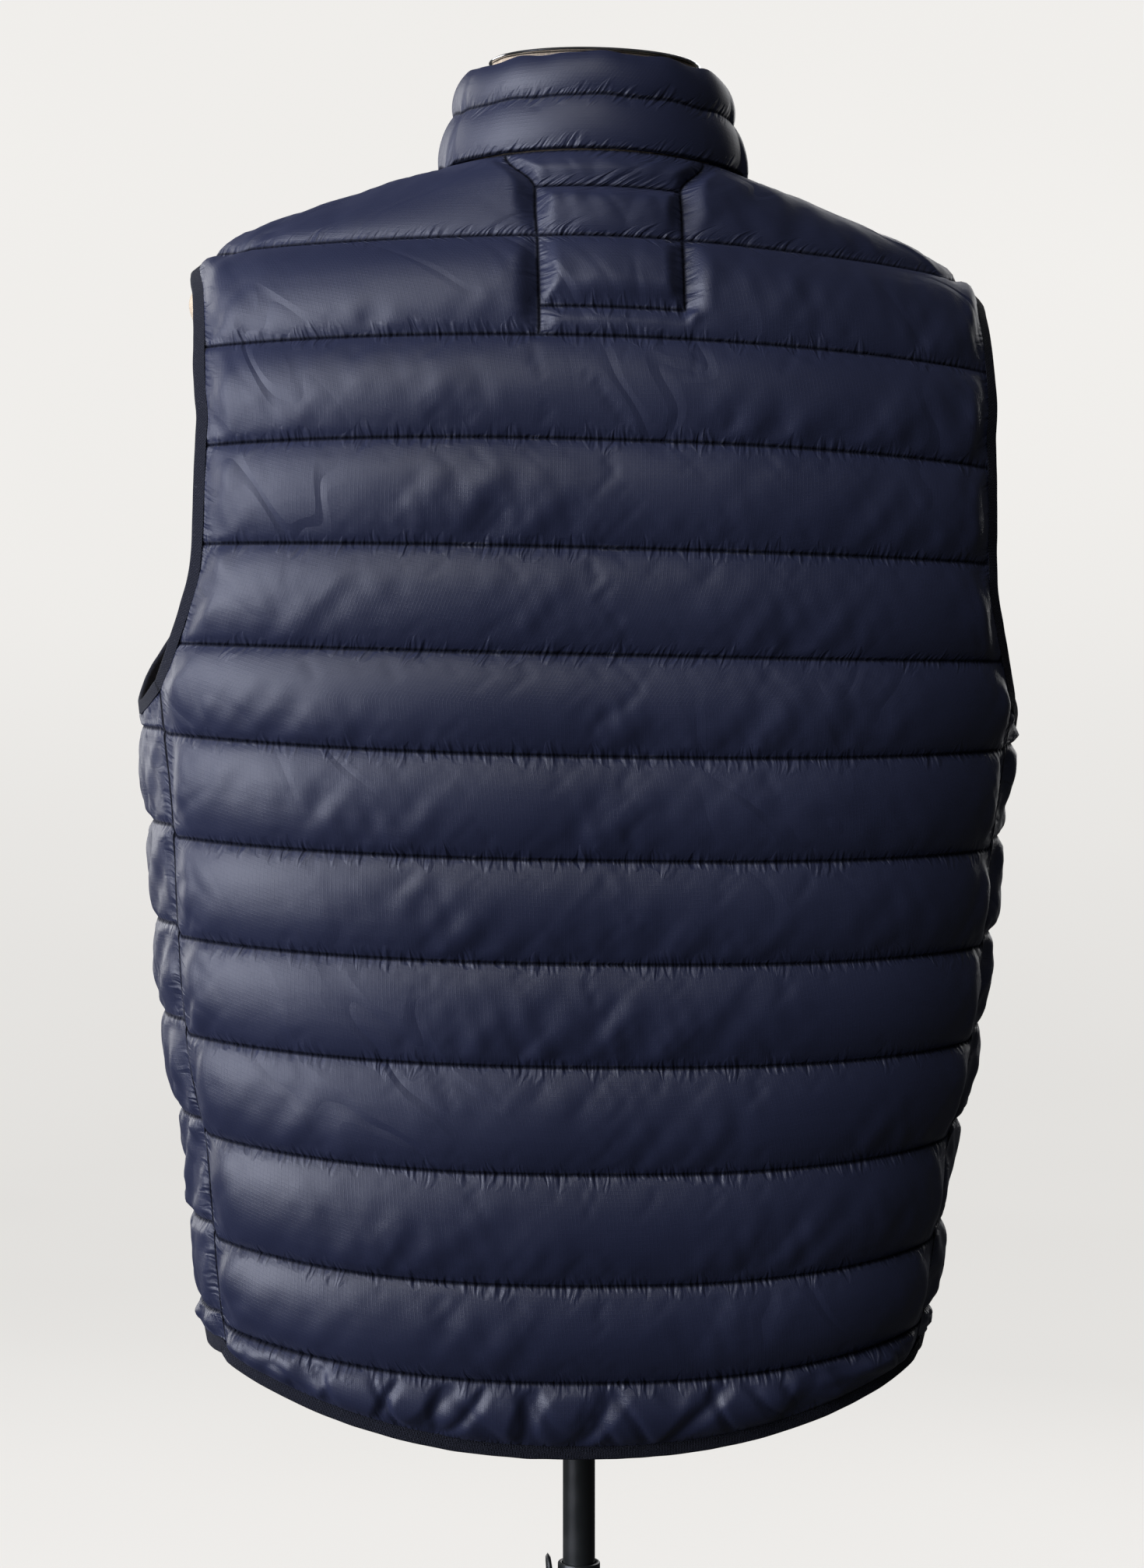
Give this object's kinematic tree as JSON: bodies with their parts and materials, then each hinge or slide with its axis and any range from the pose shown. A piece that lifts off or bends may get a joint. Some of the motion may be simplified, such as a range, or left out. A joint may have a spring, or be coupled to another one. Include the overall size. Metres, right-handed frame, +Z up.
{
  "type": "quilted vest on a dress form with stand",
  "caption": "Sleeveless quilted puffer vest with a stand-up collar and bound edges, zipped on a limbless linen dress form on an adjustable pole stand",
  "frame": {"origin": "the centre of the round foot's underside, on the floor under the pole", "axes": "+Z up along the pole, -Y out of the vest's front, +X to the wearer's left"},
  "size_m": [0.5227, 0.38, 1.5542],
  "materials": {
    "shell_cloth": "dark navy satin nylon, quilted over fill",
    "binding_tape": "matte black-navy elastic and woven tape",
    "zip_teeth": "dark moulded coil",
    "zip_metal": "dark painted die-cast slider and pull",
    "form_linen": "natural linen over padding and a hollow shell",
    "cap_chrome": "chromed rim, linen-covered top",
    "stand_enamel": "black enamel, worn bright at the sleeve's lip"
  },
  "bodies": {
    "stand": {"stand_foot": "stand_enamel", "foot_boss": "stand_enamel", "stand_sleeve": "stand_enamel"},
    "post": {"stand_post": "stand_enamel"},
    "form": {"form_socket": "stand_enamel", "form_torso": "form_linen", "neck_cap": "cap_chrome", "back_panel": "shell_cloth", "front_left": "shell_cloth", "front_right": "shell_cloth", "collar": "shell_cloth", "armhole_tape_left": "binding_tape", "armhole_tape_right": "binding_tape", "hem_tape": "binding_tape", "zip_tape_left": "binding_tape", "zip_tape_right": "binding_tape", "zip_teeth": "zip_teeth", "zip_slider": "zip_metal"},
    "pull": {"zip_pull": "zip_metal"},
    "screw": {"wing_screw": "stand_enamel"}
  },
  "joints": [
    {"name": "height_slide", "type": "slide", "parent": "stand", "child": "post", "axis": [0, 0, 1], "range_m": [-0.09, 0.22]},
    {"name": "form_turn", "type": "hinge", "parent": "post", "child": "form", "pos_m": [0, 0, 0.8], "axis": [0, 0, 1], "continuous": true},
    {"name": "screw_turn", "type": "hinge", "parent": "stand", "child": "screw", "pos_m": [0.0168, 0, 0.658], "axis": [1, 0, 0], "range_deg": [-270, 0]},
    {"name": "pull_swing", "type": "hinge", "parent": "form", "child": "pull", "pos_m": [-0.00796, -0.06519, 1.49191], "axis": [-0.9998, 0, -0.022], "range_deg": [0, 150]}
  ]
}
